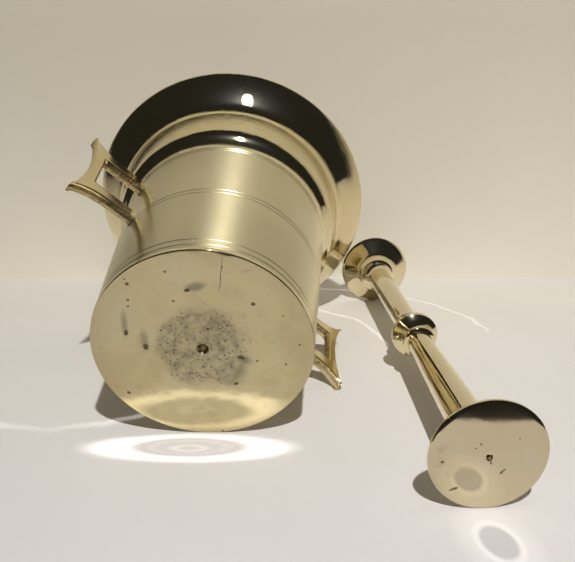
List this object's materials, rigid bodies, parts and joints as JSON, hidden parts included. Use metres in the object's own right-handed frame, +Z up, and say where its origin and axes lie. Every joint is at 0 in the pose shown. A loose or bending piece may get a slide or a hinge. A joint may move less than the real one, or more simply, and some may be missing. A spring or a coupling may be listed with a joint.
{
  "type": "mortar and pestle",
  "caption": "Cast brass mortar with a flared mouth and two bracket handles, lying on its side, with a double-headed pestle beside it.",
  "frame": {"origin": "middle of the whole set's box, on the surface it lies on", "axes": "+Z up from that surface; +Y is the way the lying mortar's mouth faces, seen from above; +X towards the pestle"},
  "size_m": [0.1798, 0.202, 0.132],
  "materials": {
    "body_brass": "turned and polished, with engraved lines and a stained base",
    "handle_brass": "polished faces, rough cast edges",
    "solder": "grey solder, filed smooth",
    "pestle_brass": "turned and polished"
  },
  "bodies": {
    "mortar": {"mortar_body": "body_brass", "left_handle": "handle_brass", "right_handle": "handle_brass", "left_handle_upper_solder": "solder", "left_handle_lower_solder": "solder", "right_handle_upper_solder": "solder", "right_handle_lower_solder": "solder"},
    "pestle": {"pestle": "pestle_brass"}
  },
  "joints": [
    {"name": "pestle_lift", "type": "slide", "parent": "mortar", "child": "pestle", "axis": [0, 0, 1], "range_m": [0, 0.15]}
  ]
}
